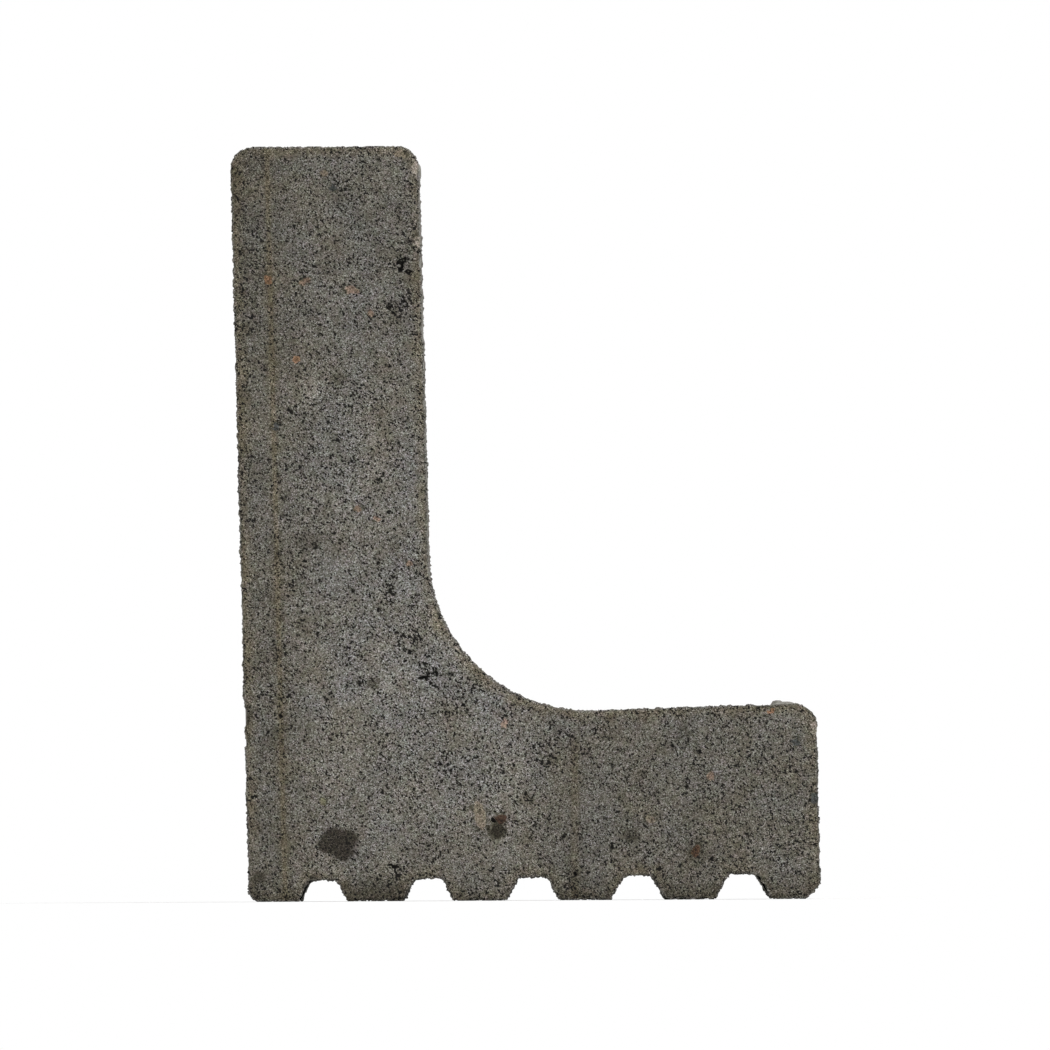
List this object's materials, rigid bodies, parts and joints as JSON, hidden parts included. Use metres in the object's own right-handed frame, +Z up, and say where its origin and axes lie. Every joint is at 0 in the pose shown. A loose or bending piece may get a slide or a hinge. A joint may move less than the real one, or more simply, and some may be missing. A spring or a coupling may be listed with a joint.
{
  "type": "concrete kerb stone",
  "caption": "L-shaped cast concrete kerb stone: an upright stem on a wide foot, with a swept inner corner and bedding grooves along the underside.",
  "frame": {"origin": "middle of the stone's box, on the bed that it rests on", "axes": "+Z up, +X from the stem towards the toe of the foot, Y along the stone's length"},
  "size_m": [0.3108, 0.4, 0.4],
  "materials": {
    "cast_concrete": "rough, open-grained dry-cast concrete"
  },
  "bodies": {
    "root": {"kerb_stone": "cast_concrete"}
  },
  "joints": []
}
